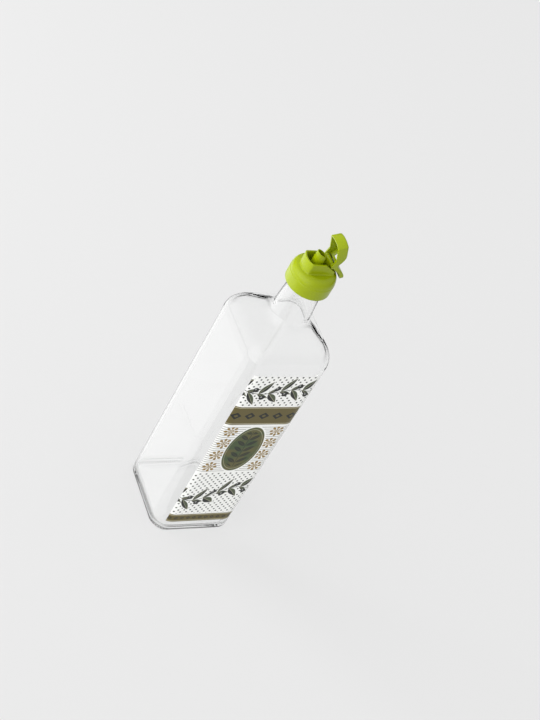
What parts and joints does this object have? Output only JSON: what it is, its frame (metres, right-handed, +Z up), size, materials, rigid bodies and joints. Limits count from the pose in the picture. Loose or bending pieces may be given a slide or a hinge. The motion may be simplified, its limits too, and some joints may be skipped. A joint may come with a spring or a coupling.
{
  "type": "glass oil dispenser bottle",
  "caption": "Square clear glass oil bottle with sloping shoulders and a narrow neck, closed by a ribbed rubber stopper and a green pourer cap whose hinged flip lid stands open.",
  "frame": {"origin": "centre of the base, on the plane the bottle stands on", "axes": "+Z up along the bottle's axis; the decorated face looks to -Y; the cap pours towards -X and its lid hinges at +X"},
  "size_m": [0.075, 0.075, 0.3203],
  "materials": {
    "clear_glass": "clear, polished",
    "black_rubber": "matt",
    "lime_plastic": "satin gloss"
  },
  "bodies": {
    "bottle": {"glass_bottle": "clear_glass", "rubber_stopper": "black_rubber", "pourer_cap": "lime_plastic"},
    "lid": {"flip_lid": "lime_plastic"}
  },
  "joints": [
    {"name": "lid_hinge", "type": "hinge", "parent": "bottle", "child": "lid", "pos_m": [0.0075, 0, 0.2966], "axis": [0, 1, 0], "range_deg": [-70, 0]}
  ]
}
